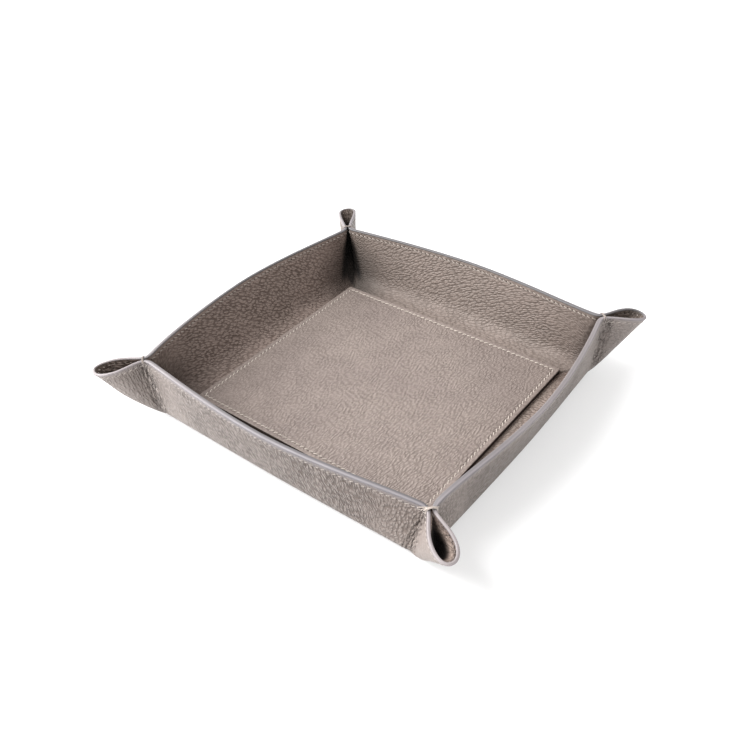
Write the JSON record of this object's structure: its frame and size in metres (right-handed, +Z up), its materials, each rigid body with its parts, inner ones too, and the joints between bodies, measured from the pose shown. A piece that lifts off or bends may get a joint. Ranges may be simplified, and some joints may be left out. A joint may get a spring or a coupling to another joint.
{
  "type": "leather tray",
  "caption": "Rectangular leather catch-all tray with folded-up walls, corners pinched and sewn into open ears, and a raised stitched base panel.",
  "frame": {"origin": "centre of the tray's footprint on the surface that it stands on", "axes": "+Z up, +X along the longer side of the tray, +Y along the shorter side"},
  "size_m": [0.273, 0.2532, 0.0455],
  "materials": {
    "outer_leather": "taupe grey full-grain leather, pebbled, half matt; rim edge inked grey and polished",
    "lining_leather": "taupe grey full-grain leather, pebbled, half matt",
    "panel_leather": "taupe grey leather, finer and flatter grain, half matt",
    "panel_board": "bonded leather board, dark brown, matt",
    "thread": "ecru waxed thread",
    "tack_thread": "off-white thick waxed thread"
  },
  "bodies": {
    "root": {"outer_leather": "outer_leather", "lining_leather": "lining_leather", "panel_leather": "panel_leather", "panel_board": "panel_board", "panel_needle_thread": "thread", "panel_bobbin_thread": "thread", "rim_needle_thread": "thread", "rim_bobbin_thread": "thread", "corner_tack_right": "tack_thread", "corner_tack_front": "tack_thread", "corner_tack_left": "tack_thread", "corner_tack_back": "tack_thread"}
  },
  "joints": []
}
